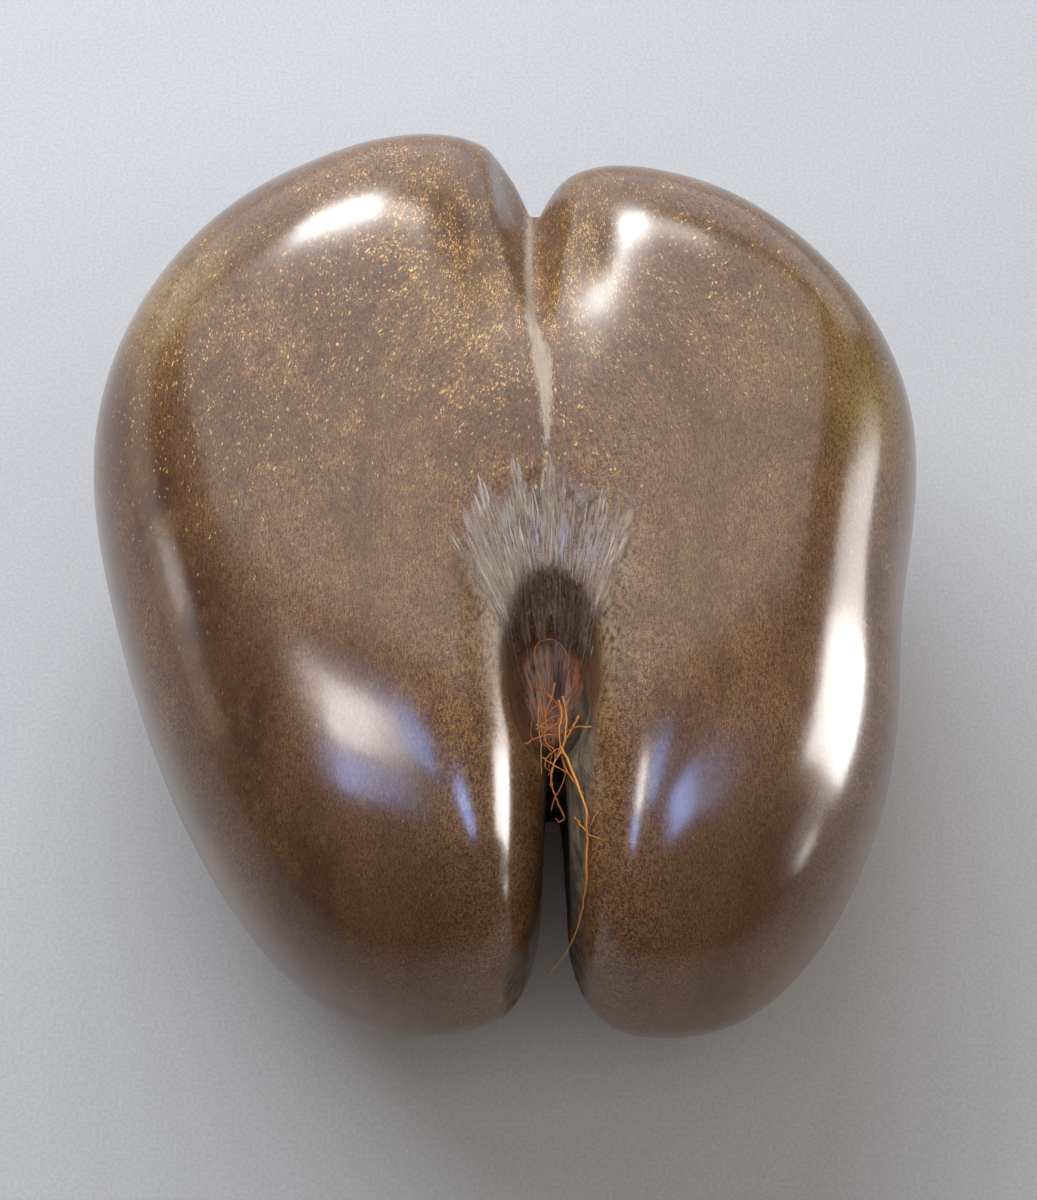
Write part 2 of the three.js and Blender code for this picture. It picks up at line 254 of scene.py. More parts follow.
def heights(kind, x, y, z):
    return sum(
        strength * netNoise(x / sizes[0], y / sizes[1], z / sizes[2], drawn)
        for strength, sizes, drawn in relief[kind]
    )


def along(line, y):  # a value given at some places along Y
    places, values = zip(*sorted(line))
    return np.interp(y, places, values)


def fanOf(x, y):
    dx, dy = x - scar["centre"][0], y - scar["centre"][1]
    return np.arctan2(dx, dy), np.hypot(dx, dy)


def scarReach(angle):  # distances from the centre where the strands start and end
    side = (angle / scar["spread"]) ** 2
    start = scar["from"] - (scar["from"] - scar["sideFrom"]) * side
    return start, scar["to"] - (scar["to"] - scar["sideTo"]) * side


# The masks are distances in millimetres, above zero inside a place and below it outside
def insideScar(x, y, z):
    angle, distance = fanOf(x, y)
    start, end = scarReach(angle)
    coarse, fine = (netNoise(angle * pitch, 0, 0, 3 + n) for n, pitch in enumerate(scar["tipPitches"]))
    tips = scar["ragged"] * (coarse + 0.5 * fine)
    within = np.minimum(end + tips - distance, distance - (start + 0.5 * tips))
    flank = np.minimum(angle - scar["torn"][0], scar["torn"][1] - angle) * distance
    return np.where(z > scar["above"], np.minimum(within, flank), farOutside)


def insideHollow(x, y, z):
    angle, distance = fanOf(x, y)
    rim = scarReach(angle)[0] + hollow["rim"]
    flank = (scar["spread"] * hollow["width"] - np.abs(angle)) * distance + hollow["edge"]
    return np.where(z > hollow["above"], np.minimum(rim - distance, flank), farOutside)


def insideCleft(x, y, z):
    across = np.minimum(x - along(cleft["left"], y), along(cleft["right"], y) - x)
    return np.minimum(across, cleft["head"] - y)


def insideStreak(x, y, z):
    across = along(streak["halfWidth"], y) - np.abs(x - along(streak["line"], y))
    return np.where(z > streak["above"], np.minimum(across, y - streak["from"]), farOutside)


def scarRidges(x, y, z):
    angle, distance = fanOf(x, y)
    ragged = ridges["ragged"] * sum(strength * np.sin(pitch * angle) for strength, pitch in ridges["waves"])
    end = scarReach(angle)[1] + ragged
    shown = smoothStep(distance, *ridges["rise"])
    shown *= 1 - smoothStep(distance, *(end + past for past in ridges["end"]))
    shown *= 1 - smoothStep(np.abs(angle), *(scar["spread"] + past for past in ridges["flank"]))
    shown *= smoothStep(z, *ridges["above"])
    sway, swayLength = ridges["sway"]
    ridge = 0.5 + 0.5 * np.cos(2 * np.pi * angle / ridges["pitch"] + sway * np.sin(distance / swayLength))
    return ridges["share"] * shown * (ridges["height"] * ridge - ridges["recess"])


# What the fine surface adds to the smooth form: torn strands, fibrous walls and a hand-polished waviness
def fineRelief(x, y, z):
    angle, distance = fanOf(x, y)
    fan = angle * scar["fanScale"]
    inScar = smoothStep(insideScar(x, y, z), *scar["fade"])
    width, length = scar["strandWidth"], scar["strandLength"]
    strands = 1 - 1.6 * np.abs(netNoise(fan / width, distance / length, 0, 7))
    strands += 0.6 * netNoise(fan / (0.45 * width), distance / (0.6 * length), 0, 8)
    raised = inScar * (scar["strandHeight"] * strands - scar["strandRecess"])
    inHollow = smoothStep(insideHollow(x, y, z), *hollow["fade"])
    raised += inHollow * hollow["roughness"] * heights("pits", fan, distance, z)
    inCleft = smoothStep(insideCleft(x, y, z), *cleft["fade"])
    raised += inCleft * (cleft["roughness"] * heights("wall", x, y, z) - cleft["recess"])
    inStreak = smoothStep(insideStreak(x, y, z), *streak["fade"])
    raised += inStreak * streak["roughness"] * heights("streak", x, y, 0)
    polished = 1 - np.maximum(np.maximum(inScar, inHollow), np.maximum(inCleft, inStreak))
    return scarRidges(x, y, z) * inScar + raised + polished * heights("wave", x, y, z)


def toOwn(places):  # from the frame's metres to the seed's own millimetres
    return places / mm + np.array([*seed["middle"], 0])


def toFrame(places):
    return (places - np.array([*seed["middle"], 0])) * mm


# The lengths that the edges of the fine surface may have: finest at three places, longer away from them
net = {
    "plain": 3.4,
    "growth": 0.12,  # for each millimetre away
    "above": 95,
    "scar": {"edge": 0.55, "middle": (9, -34), "squash": 0.8, "reach": 24},
    "streak": {"edge": 0.9, "x": 5, "y": (10, 95), "reach": 4},
    "cleft": {"edge": 1.3, "x": 14, "halfWidth": 12, "y": -48, "z": 40},
    "rounds": 4,  # of cutting the edges that are this much too long
    "tooLong": 1.35,
    "merge": 0.02,
}


def wantedLength(point):
    x, y, z = point
    finest, growth = net["plain"], net["growth"]
    if z > net["above"]:
        place = net["scar"]
        away = math.hypot(x - place["middle"][0], (y - place["middle"][1]) * place["squash"]) - place["reach"]
        finest = min(finest, place["edge"] + max(away, 0) * growth)
        place = net["streak"]
        away = math.hypot(x - place["x"], y - min(max(y, place["y"][0]), place["y"][1])) - place["reach"]
        finest = min(finest, place["edge"] + max(away, 0) * growth)
    place = net["cleft"]
    away = max(abs(x - place["x"]) - place["halfWidth"], y - place["y"], place["z"] - z, 0)
    return min(finest, place["edge"] + away * growth)


def makeMesh(name, bm):
    mesh = bpy.data.meshes.new(name)
    bm.to_mesh(mesh)
    bm.free()
    for face in mesh.polygons:
        face.use_smooth = True
    piece = bpy.data.objects.new(name, mesh)
    bpy.context.scene.collection.objects.link(piece)
    return piece


def placesOf(bm):
    return np.array([vert.co[:] for vert in bm.verts])


def placeVerts(bm, places):
    for vert, place in zip(bm.verts, places):
        vert.co = place


def drawOnto(points, passes, shallowest=0.05, farthest=3):  # moves points onto the seed's surface
    for _ in range(passes):
        value, slope = seedField(points), slopeOf(points)
        steepness = np.maximum((slope**2).sum(1), shallowest)
        points = points - slope * np.clip(value / steepness, -farthest, farthest)[:, None]
    return points


def addMask(mesh, name, values):
    mesh.attributes.new(name, "FLOAT", "POINT").data.foreach_set("value", np.float32(values))


def addPlaces(mesh, name, places):
    mesh.attributes.new(name, "FLOAT_VECTOR", "POINT").data.foreach_set("vector", np.float32(places).ravel())


# Where each marking, painted dark reflection, painted sheen, painted pit shade or dull place gathers on the
# face: middle, reach across and along, strength
gatherings = {
    "flecked": [(-22, 84, 30, 34, 0.5), (-8, 55, 20, 30, 0.3), (20, 72, 15, 26, 0.5), (4, 22, 16, 24, 0.15),
                (-50, 30, 60, 50, 0.08), (-92, 40, 30, 40, 0.12), (60, 60, 50, 40, 0.1)],
    "streaked": [(34, 36, 14, 26, 1), (-20, 62, 9, 30, 0.8), (-2, 12, 30, 22, 0.4), (-8, 88, 8, 14, 0.7)],
    "rusty": [(19, -50, 3.2, 11, 1), (23, -66, 3, 6, 0.9), (-1, -56, 2.5, 14, 0.8), (12, -74, 9, 14, 0.7)],
    # painted shade: near black in the hollow's pits
    "pitShadeSpots": [(0.5, -54, 2.6, 11, 0.95), (11.5, -52, 2, 8, 0.9), (5, -68, 3, 8, 0.7)],
    # painted sheen: bluish glints on the torn strands
    "paintedSheenSpots": [(5, -18, 2.4, 6, 0.9), (12.5, -19, 2, 6, 1), (21, -22, 3, 5, 0.6), (-3, -16, 1.5, 5, 0.7)],
    "oliveBorder": [(-8, -46, 5, 18, 0.7), (26, -48, 3.5, 16, 0.7), (30, -28, 3, 9, 0.6),
                    (-12, -30, 3, 9, 0.4)],
    "olive": [(105, 24, 11, 17, 0.9), (-108, 62, 16, 22, 0.45), (92, 46, 24, 26, 0.25)],
    # painted dark reflection: a darker band down the left flank and on both tips, where the polish mirrors
    # dark surroundings
    "darkReflection": [(-106, -8, 10, 26, 1), (-92, -42, 10, 24, 1), (-76, -78, 10, 26, 0.9), (-60, -108, 14, 24, 0.6),
              (-118, 30, 8, 26, 0.5), (70, -112, 44, 26, 0.5), (-50, -130, 40, 20, 0.4)],
    "dull": [(3, 62, 15, 20, 1), (9, 38, 12, 18, 0.8), (-1, 90, 10, 16, 0.6),  # hard to reach with a cloth
             (-7, -52, 5, 17, 0.9), (26, -56, 5, 18, 0.7), (14, -11, 9, 9, 1)],
}
markedAbove = 60  # the height of the face that bears markings


def gathered(name, x, y):
    return sum(
        strength * np.exp(-(((x - middle) / across) ** 2) - ((y - far) / reach) ** 2)
        for middle, far, across, reach, strength in gatherings[name]
    )


# The grain: how the shell's fibres run, as a place across and along them
grain = {
    "right": {"x": 40, "slant": 0.55},
    "left": {"x": -25, "slant": 0.4},
    "width": 22,
    "slantedAt": 40,
    "slantedTo": 30,
    "down": 0.45,  # below 1, because the fibres are longer down the flanks
}


def grainOf(x, y, z):
    reach = grain["slantedTo"] * np.tanh((y - grain["slantedAt"]) / grain["slantedTo"])
    sides = grain["right"], grain["left"]
    right, left = (side["slant"] * np.exp(-(((x - side["x"]) / grain["width"]) ** 2)) for side in sides)
    return np.stack([x + (right - left) * reach, y, grain["down"] * z], 1)


def nutPiece():
    bm = bmesh.new()
    bm.from_mesh(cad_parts["nut"].data)
    bmesh.ops.remove_doubles(bm, verts=bm.verts, dist=net["merge"] * mm)
    bmesh.ops.subdivide_edges(bm, edges=bm.edges, cuts=1, use_grid_fill=True)
    axes = {"use_axis_" + axis: True for axis in "xyz"}
    for _ in range(net["rounds"]):
        middles = toOwn(np.array([(edge.verts[0].co + edge.verts[1].co)[:] for edge in bm.edges]) / 2)
        longest = [net["tooLong"] * wantedLength(middle) for middle in middles]
        tooLong = [edge for edge, length in zip(bm.edges, longest) if edge.calc_length() / mm > length]
        if not tooLong:
            break
        bmesh.ops.subdivide_edges(bm, edges=tooLong, cuts=1)
        bmesh.ops.triangulate(bm, faces=[face for face in bm.faces if len(face.verts) > 3])
        for _ in range(2):
            bmesh.ops.smooth_vert(bm, verts=bm.verts, factor=0.5, **axes)
            placeVerts(bm, toFrame(drawOnto(toOwn(placesOf(bm)), 1)))
    smooth = drawOnto(toOwn(placesOf(bm)), 3)
    fine = smooth + normalsOf(smooth) * fineRelief(*smooth.T)[:, None]
    fine[:, 2] = np.maximum(fine[:, 2], 0)  # the two flats that it lies on
    placeVerts(bm, toFrame(fine))
    piece = makeMesh("polished_nut", bm)
    mesh = piece.data
    x, y, z = smooth.T
    addMask(mesh, "inScar", insideScar(x, y, z))
    addMask(mesh, "inHollow", insideHollow(x, y, z))
    addMask(mesh, "inCleft", insideCleft(x, y, z))
    addMask(mesh, "inStreak", insideStreak(x, y, z))
    angle, distance = fanOf(x, y)
    addPlaces(mesh, "fan", np.stack([angle * scar["fanScale"], distance, z], 1))
    addPlaces(mesh, "grain", grainOf(x, y, z))
    for name in gatherings:
        addMask(mesh, name, gathered(name, x, y) * (z > markedAbove))
    print("polished nut:", len(mesh.polygons), "triangles")
    return piece


class Wire:
    # One socket of a node; sums and products of wires add the Math nodes that they need
    def __init__(self, tree, socket=None):
        self.tree = tree
        self.socket = socket

    def node(self, kind, settings=None, sockets=None, output=0):
        made = self.tree.nodes.new("ShaderNode" + kind)
        for name, value in (settings or {}).items():
            setattr(made, name, value)
        for name, value in (sockets or {}).items():
            if isinstance(value, Wire):
                self.tree.links.new(value.socket, made.inputs[name])
            else:
                made.inputs[name].default_value = value
        return Wire(self.tree, made.outputs[output])

    def math(self, operation, *values):
        return self.node("Math", {"operation": operation}, dict(enumerate(values)))

    def __add__(self, other):
        return self.math("ADD", self, other)

    def __radd__(self, other):
        return self.math("ADD", other, self)

    def __sub__(self, other):
        return self.math("SUBTRACT", self, other)

    def __rsub__(self, other):
        return self.math("SUBTRACT", other, self)

    def __mul__(self, other):
        return self.math("MULTIPLY", self, other)

    def __rmul__(self, other):
        return self.math("MULTIPLY", other, self)

    def larger(self, other):
        return self.math("MAXIMUM", self, other)

    def step(self, low, high):  # 0 below low, 1 above high, smooth between
        sockets = {"Value": self, "From Min": low, "From Max": high}
        return self.node("MapRange", {"interpolation_type": "SMOOTHSTEP"}, sockets, "Result")

    def stretched(self, x, y, z):
        return self.node("VectorMath", {"operation": "MULTIPLY"}, {0: self, 1: (x, y, z)})

    def noise(self, detail=2, roughness=0.5, distortion=0):
        sockets = {"Vector": self, "Scale": 1, "Detail": detail, "Roughness": roughness}
        return self.node("TexNoise", None, {**sockets, "Distortion": distortion})

    def mix(self, first, second):  # self is the share of the second color
        values = {0: self, 6: opaque(first), 7: opaque(second)}
        return self.node("Mix", {"data_type": "RGBA"}, values, 2)

    def attribute(self, name, output="Fac"):
        return self.node("Attribute", {"attribute_name": name}, None, output)


def opaque(color):
    return color if isinstance(color, Wire) else (*color, 1)


def tone(red, green, blue):  # a color as it is seen, each part from 11 to 255
    return tuple(((part / 255 + 0.055) / 1.055) ** 2.4 for part in (red, green, blue))


def newMaterial(name):
    material = bpy.data.materials.new(name)
    material.use_nodes = True
    tree = material.node_tree
    shader = tree.nodes["Principled BSDF"]
    return material, Wire(tree), shader


def plug(wire, shader, name):
    wire.tree.links.new(wire.socket, shader.inputs[name])


def bumped(g, strength, depth, height):  # the depth is in millimetres
    return g.node("Bump", None, {"Strength": strength, "Distance": depth * mm, "Height": height}, "Normal")


shell = {
    "dark": tone(76, 46, 30),
    "pale": tone(178, 130, 82),
    "olive": tone(134, 114, 66),
    "plum": tone(132, 94, 86),
    # a dark tone for the random mottling, and for the painted dark reflection
    "darkMottleAndReflection": tone(74, 44, 32),
    "streakDark": tone(78, 62, 50),
    "oliveSkin": tone(176, 150, 74),
    "gold": tone(220, 142, 58),
    "paleGold": tone(255, 216, 134),
    "tornPale": tone(222, 208, 192),
    "streakPale": tone(198, 180, 156),
    "tornMid": tone(172, 150, 136),
    "tornDark": tone(104, 80, 68),
    "tornOlive": tone(168, 150, 122),
    # painted sheen: a bluish glint painted onto the torn strands
    "paintedSheen": tone(180, 180, 204),
    # painted shade for the pits, and painted light: the hollow's strands far paler than the shell, so that
    # they show in its shade
    "pitShade": tone(34, 27, 26),
    "hollow": tone(232, 190, 162),
    "rust": tone(226, 108, 44),
    "raw": tone(132, 114, 86),
    "rawDark": tone(64, 51, 40),
    # what tints and darkens the shell: a pattern, the values that it fades between, strength and tone
    "tints": (
        ("tint", 0.52, 0.62, 0.6, "olive"),
        ("tint", 0.48, 0.38, 0.55, "plum"),
        ("speckle", 0.48, 0.36, 0.75, "dark"),
        ("mottle", 0.56, 0.36, 0.3, "darkMottleAndReflection"),
        ("patch", 0.58, 0.36, 0.35, "darkMottleAndReflection"),
    ),
    # distances inside each place's ragged edge over which its tones begin
    "edges": {"scar": (-0.6, 2.2), "streak": (-0.6, 1.4), "hollow": (-1, 5), "cleft": (-0.8, 2)},
    "gloss": 0.16,
    "speckleRoughness": 0.08,
    "dullRoughness": 0.35,
    "rawRoughness": 0.2,
    "dullShell": (6, 5, 0.8),  # how far it reaches from the scar, over what it fades, and its strength
    "coat": 0.15,
    "coatRoughness": 0.1,
    "refraction": 1.5,
    "bump": 0.8,
    "bumpDepth": 1,
    "fleckShare": 0.022,
    # two sizes of fleck: width, length, how common, number of the draw, strength
    "fleckSizes": ((0.55, 1.4, 1.3, 0, 0.8), (0.75, 2.2, 0.6, 40, 0.85)),
}

# The shell's patterns. Each is drawn on the grain or on the scar's fan: how finely across, along and
# down, its detail, roughness and distortion
patterns = {
    "fibres": ((1 / 0.42, 1 / 2.2, 1 / 0.42), 3, 0.65),
    "grit": ((4, 2.2, 4), 2, 0.6),
    "speckle": ((2, 1, 2), 3, 0.65),
    "tint": ((1.3, 0.6, 1.3), 3, 0.7, 0.5),
    "mottle": ((0.16, 0.1, 0.16), 4, 0.6),
    "patch": ((0.03, 0.02, 0.03), 2, 0.5),
    "streaks": ((0.5, 0.05, 0.5), 3, 0.6),
    "wall": ((0.6, 0.09, 0.6), 5, 0.7),
}
fanPatterns = {
    "strands": ((0.8, 0.05, 0.15), 4, 0.7),
    "hairs": ((2.4, 0.12, 0.4), 3, 0.65),
    "patches": ((0.12, 0.07, 0.1), 2, 0.5),
}


def flecks(g, grainAt, width, length, share, drawn):
    # short strokes along the grain, one to a cell, in a share of the cells
    shift = grainAt.stretched(0.35, 0.35, 0.35).noise(1)
    cells = grainAt.stretched(1 / width, 1 / length, 1 / width)
    shifted = g.node("CombineXYZ", None, {"X": shift * 3 + drawn, "Y": shift * 0.8})
    cells = g.node("VectorMath", {"operation": "ADD"}, {0: cells, 1: shifted})
    sockets = {"Vector": cells, "Scale": 1, "Randomness": 1}
    stroke = g.node("TexVoronoi", None, sockets, "Distance").step(0.38, 0.24)
    own = g.node("TexVoronoi", None, sockets, "Color")
    chance, fleckTone = (g.node("SeparateXYZ", None, {0: own}, part) for part in "XY")
    return stroke * (share - chance).step(0, 0.05), fleckTone


def shellMaterial():
    material, g, shader = newMaterial("polishedShell")
    grainAt = g.attribute("grain", "Vector")
    fan = g.attribute("fan", "Vector")
    onGrain = {name: grainAt.stretched(*size).noise(*kind) for name, (size, *kind) in patterns.items()}
    onFan = {name: fan.stretched(*size).noise(*kind) for name, (size, *kind) in fanPatterns.items()}
    fibres, grit, speckle, mottle = (onGrain[name] for name in ("fibres", "grit", "speckle", "mottle"))
    strands, hairs = onFan["strands"], onFan["hairs"]

    # fibres and grit, tinted and darkened in places; a painted dark reflection down the left flank and on the
    # tips
    color = (fibres * 0.45 + grit * 0.55).step(0.4, 0.6).mix(shell["dark"], shell["pale"])
    for name, low, high, strength, tint in shell["tints"]:
        color = (onGrain[name].step(low, high) * strength).mix(color, shell[tint])
    # painted dark reflection, mottled, down the left flank and on the tips
    darkReflectionMottle = (mottle * 0.6 + speckle * 0.4).step(0.38, 0.55)
    color = (g.attribute("darkReflection") * darkReflectionMottle).mix(color, shell["darkMottleAndReflection"])
    color = (g.attribute("olive") * speckle.step(0.3, 0.6) * 0.7).mix(color, shell["oliveSkin"])
    streaks = onGrain["streaks"].step(0.5, 0.66)
    color = (streaks * g.attribute("streaked") * 0.6).mix(color, shell["streakDark"])

    # gold flecks, in clusters, thickest at the notched end
    clusters = mottle.step(0.4, 0.62) * 1.5 + 0.25
    share = shell["fleckShare"] + g.attribute("flecked") * clusters
    for width, length, factor, drawn, strength in shell["fleckSizes"]:
        stroke, fleckTone = flecks(g, grainAt, width, length, share * factor, drawn)
        color = (stroke * strength).mix(color, fleckTone.mix(shell["gold"], shell["paleGold"]))

    # torn strands, the dark hollow with painted shade in its pits and painted light on its strands, the raw
    # walls of the cleft
    torn = (hairs * 0.6 + grit * 0.4).step(0.38, 0.58).mix(shell["tornDark"], shell["tornMid"])
    torn = (onFan["patches"].step(0.45, 0.6) * hairs.step(0.4, 0.6)).mix(torn, shell["tornOlive"])
    torn = (strands * 0.6 + hairs * 0.4).step(0.53, 0.64).mix(torn, shell["tornPale"])
    # painted sheen on the strands
    torn = (g.attribute("paintedSheenSpots") * hairs.step(0.42, 0.56)).mix(torn, shell["paintedSheen"])
    edge = strands * 6 - 3
    edges = shell["edges"]
    inScar = (g.attribute("inScar") + edge * 2.4).step(*edges["scar"])
    inStreak = (g.attribute("inStreak") + (fibres * 5 - 2.8)).step(*edges["streak"])
    inHollow = (g.attribute("inHollow") + edge).step(*edges["hollow"])
    inCleft = (g.attribute("inCleft") + edge * 0.5).step(*edges["cleft"])
    pale = (hairs * 0.5 + grit * 0.5).step(0.36, 0.56).mix(shell["tornMid"], shell["streakPale"])
    color = (inStreak * 0.9).mix(color, pale)
    color = (inScar * 0.92).mix(color, torn)
    border = g.attribute("oliveBorder") * fibres.step(0.36, 0.6)
    color = border.mix(color, shell["tornOlive"])
    color = inCleft.mix(color, onGrain["wall"].step(0.36, 0.66).mix(shell["rawDark"], shell["raw"]))
    # painted light and shade in the hollow: pale strands with near black pits between them
    pits = (strands * 0.4 + hairs * 0.6).step(0.37, 0.54).mix(shell["pitShade"], shell["hollow"])
    pits = g.attribute("pitShadeSpots").mix(pits, shell["pitShade"])
    pits = (g.attribute("rusty") * hairs.step(0.35, 0.5)).mix(pits, shell["rust"])
    color = inHollow.mix(color, pits)
    raw = inScar.larger(inStreak * 0.7).larger(inHollow).larger(inCleft)
    plug(color, shader, "Base Color")

    reach, fade, strength = shell["dullShell"]
    nearScar = (g.attribute("inScar") + reach).step(0, fade) * strength
    dull = g.attribute("dull").larger(raw).larger(nearScar)
    roughness = shell["gloss"] + speckle * shell["speckleRoughness"]
    roughness = roughness + dull * shell["dullRoughness"] + raw * shell["rawRoughness"]
    plug(roughness, shader, "Roughness")
    plug(shell["coat"] * (1 - dull).larger(0), shader, "Coat Weight")
    shader.inputs["Coat Roughness"].default_value = shell["coatRoughness"]
    shader.inputs["IOR"].default_value = shell["refraction"]
    height = fibres * 0.022 + grit * 0.012 + raw * (strands * 0.45 + hairs * 0.3)
    plug(bumped(g, shell["bump"], shell["bumpDepth"], height), shader, "Normal")
    return material


def pixelRay(px, py):  # from the camera through a pixel of the photograph, in the seed's own frame
    tilt = math.radians(camera["elevation"])
    forward = np.array([0, math.cos(tilt), -math.sin(tilt)])
    up = np.array([0, math.sin(tilt), math.cos(tilt)])
    width, height = camera["pixels"]
    focal = camera["lens"] / camera["film"] * height
    start = np.array(camera["target"]) - camera["distance"] * forward
    ray = forward + (px - width / 2) / focal * np.array([1, 0, 0]) - (py - height / 2) / focal * up
    return start, ray / np.linalg.norm(ray)


def restingPoint(px, py, lift, lowest):  # where the ray first comes this near to the seed, or this low
    start, ray = pixelRay(px, py)
    nearest, farthest, step = camera["search"]
    reach = np.arange(camera["distance"] + nearest, camera["distance"] + farthest, step)
    points = start + ray * reach[:, None]
    near = (seedField(points) < lift) | (points[:, 2] < lowest)
    return points[np.argmax(near)] if near.any() else points[-1]


def smoothPath(points, steps):  # a smooth curve through the points
    points = np.array(points)
    padded = np.vstack([2 * points[0] - points[1], points, 2 * points[-1] - points[-2]])
    path = []
    for a, b, c, d in zip(padded, padded[1:], padded[2:], padded[3:]):
        for t in np.arange(steps) / steps:
            bend = (2 * a - 5 * b + 4 * c - d) * t**2
            path.append((2 * b + (c - a) * t + bend + (3 * b - a - 3 * c + d) * t**3) / 2)
    path.append(points[-1])
    return np.array(path)


def sweepStrand(whole, path, radii, sides, flatness, strandTone):
    # a ring extruded from point to point, closed at the root and drawn to a tip
    bm = bmesh.new()
    path = [Vector(point) for point in path]
    heading = (path[1] - path[0]).normalized()
    turn = Vector((0, 0, 1)).rotation_difference(heading).to_matrix().to_4x4()
    shape = Matrix.Translation(path[0]) @ turn @ Matrix.Diagonal((1, flatness, 1, 1))
    ring = bmesh.ops.create_circle(bm, cap_ends=True, segments=sides, radius=radii[0], matrix=shape)["verts"]
    edges = list(bm.edges)
    for before, here, after, old, new in zip(path, path[1:], path[2:] + [None], radii, radii[1:]):
        made = bmesh.ops.extrude_edge_only(bm, edges=edges)["geom"]
        ring = [part for part in made if isinstance(part, bmesh.types.BMVert)]
        madeEdges = [part for part in made if isinstance(part, bmesh.types.BMEdge)]
        edges = [edge for edge in madeEdges if all(vert in ring for vert in edge.verts)]
        bmesh.ops.translate(bm, verts=ring, vec=here - before)
        turned = (after - before).normalized() if after else heading
        spin = heading.rotation_difference(turned).to_matrix()
        bmesh.ops.rotate(bm, verts=ring, cent=here, matrix=spin)
        bmesh.ops.scale(bm, verts=ring, vec=(new / old,) * 3, space=Matrix.Translation(-here))
        heading = turned
    bmesh.ops.pointmerge(bm, verts=ring, merge_co=path[-1])
    bmesh.ops.recalc_face_normals(bm, faces=bm.faces)
    layer = bm.verts.layers.float.new("strandTone")
    for vert in bm.verts:
        vert[layer] = strandTone
    scratch = bpy.data.meshes.new("strand")
    bm.to_mesh(scratch)
    bm.free()
    whole.from_mesh(scratch)
    bpy.data.meshes.remove(scratch)


# The husk fibres: for each its thickness, how far it bows off the seed, and the photograph's pixels that
# it passes
husk = {
    "strands": [
        (0.55, 1.2, [(537, 668), (534, 652), (540, 642), (554, 640), (567, 654), (569, 664), (563, 670)]),
        (1.0, 2.0, [(555, 683), (552, 696), (547, 712), (544, 727)]),
        (0.75, 1.5, [(540, 682), (547, 693), (556, 702), (561, 713)]),
        (1.1, 3.0, [(579, 716), (572, 730), (564, 744), (560, 756)]),
        (0.9, 2.4, [(563, 697), (566, 712), (566, 730), (564, 745), (556, 760), (551, 775), (551, 788)]),
        (0.8, 1.6, [(559, 700), (562, 716), (559, 730), (560, 746), (556, 757)]),
        (0.6, 2.8, [(525, 744), (536, 738), (548, 735), (558, 735)]),
        (0.6, 3.0, [(591, 727), (580, 727), (572, 728), (566, 733)]),
        (0.7, 2.0, [(562, 757), (566, 770), (575, 783), (586, 796)]),
        (0.6, 1.4, [(564, 762), (565, 777), (556, 796), (550, 812)]),
        (0.75, 1.5, [(551, 776), (553, 790), (558, 804), (564, 818), (559, 822), (555, 818)]),
        (0.6, 1.6, [(540, 700), (538, 722), (541, 745), (541, 778)]),
        (0.5, 1.8, [(536, 730), (546, 722), (556, 716), (562, 715)]),
        (0.5, 1.4, [(541, 716), (550, 722), (556, 732), (552, 744)]),
        (0.5, 1.2, [(545, 708), (546, 722), (552, 734)]),
        (0.5, 1.0, [(548, 745), (555, 752), (553, 766), (546, 778)]),
        (0.45, 1.0, [(540, 756), (552, 764), (566, 772), (572, 779)]),
        (0.45, 1.2, [(530, 690), (542, 690), (550, 698)]),
        (0.6, 1.2, [(574, 817), (584, 829), (592, 836), (604, 840)]),
        (0.5, 1.6, [(543, 705), (541, 720), (543, 736), (549, 748)]),
        (0.45, 2.2, [(536, 724), (546, 728), (556, 724), (562, 716)]),
        (0.4, 2.4, [(538, 742), (547, 730), (557, 728), (566, 735)]),
        (0.45, 1.2, [(548, 714), (556, 706), (563, 708), (564, 720)]),
        (0.4, 1.8, [(551, 722), (545, 732), (547, 744), (556, 748)]),
        (0.4, 1.4, [(543, 744), (552, 752), (549, 768), (553, 780)]),
        (0.4, 1.0, [(529, 700), (533, 716), (531, 734), (538, 748)]),
        (0.45, 1.4, [(559, 748), (548, 756), (545, 766), (550, 772)]),
        (0.45, 1.2, [(598, 811), (592, 822), (588, 836)]),
    ],
    "long": [  # the one that hangs down beside the cleft, as places in the seed's own frame
        (12.5, -76, 123), (16, -89, 132), (18.8, -100, 136), (19.3, -107, 133), (19.1, -113, 130),
        (18.8, -119.5, 125.5), (17.5, -125.5, 115), (14, -130, 101), (8.6, -133.4, 88),
    ],
    "longThickness": 0.75,
    "slimming": 0.82,
    "sides": 6,
    "steps": 5,
    "clearance": 0.3,
    "lowest": 120,  # what isn't laid on a wall is wedged across the cleft at this height
    "wander": 0.1,
    "taper": 0.7,
    "unevenness": (0.85, 1.1),
    "root": tone(186, 88, 22),
    "tip": tone(240, 164, 72),
    "worn": (900, 500, 900),
    "roughness": 0.6,
}


def clearOf(points, thickness):  # the move that takes each point this far clear of the seed
    points = np.array(points)
    lack = thickness / 2 + husk["clearance"] - seedField(points) / np.linalg.norm(slopeOf(points), axis=1)
    return normalsOf(points) * np.maximum(lack, 0)[:, None]


